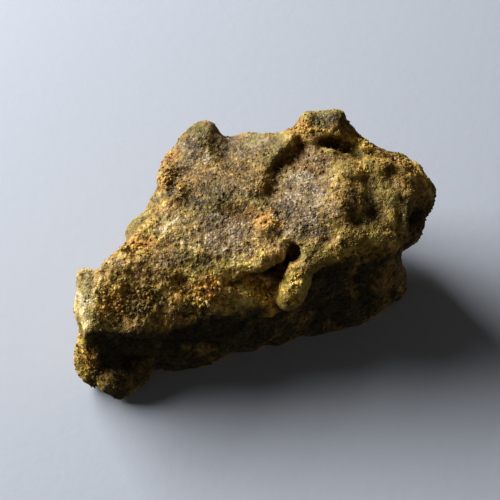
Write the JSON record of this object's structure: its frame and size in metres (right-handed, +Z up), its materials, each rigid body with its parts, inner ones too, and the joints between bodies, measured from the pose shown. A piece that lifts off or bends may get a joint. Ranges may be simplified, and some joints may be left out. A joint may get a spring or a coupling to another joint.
{
  "type": "epidote in quartz specimen",
  "caption": "Rough hand specimen of granular yellow-green epidote in grey quartz: one broken stone with knobs, pits, a cleft and an undercut foot, resting on a flat underside.",
  "frame": {"origin": "middle of the bounding box's footprint, on the flat face the stone rests on", "axes": "+X along the long side, from the narrow raised end to the high bulging end; +Y from the long broken front wall to the back; +Z up"},
  "size_m": [0.081, 0.0548, 0.0385],
  "materials": {
    "epidote_in_quartz": "rough, granular, dull with small glassy glints"
  },
  "bodies": {
    "root": {"stone": "epidote_in_quartz"}
  },
  "joints": []
}
